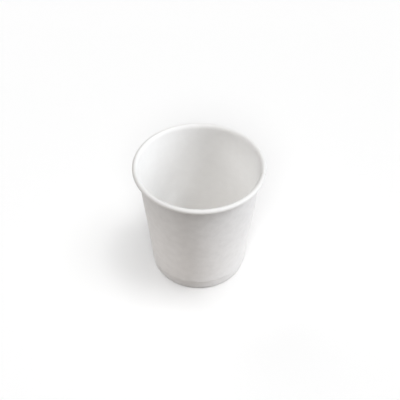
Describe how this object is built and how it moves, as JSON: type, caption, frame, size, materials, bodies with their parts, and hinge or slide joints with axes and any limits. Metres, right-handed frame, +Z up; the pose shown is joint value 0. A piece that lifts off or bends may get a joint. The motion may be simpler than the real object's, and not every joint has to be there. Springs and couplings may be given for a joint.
{
  "type": "paper coffee cup",
  "caption": "Small tapered single-wall paper cup with a rolled rim, a lapped side seam, a crimped foot and a raised bottom held in the folded foot.",
  "frame": {"origin": "centre of the foot ring, on the surface the cup stands on", "axes": "+Z up along the axis of the cup; the side seam faces +X"},
  "size_m": [0.062, 0.062, 0.0615],
  "materials": {
    "wall_board": "satin",
    "bottom_board": "satin"
  },
  "bodies": {
    "root": {"sidewall": "wall_board", "bottom_disc": "bottom_board"}
  },
  "joints": []
}
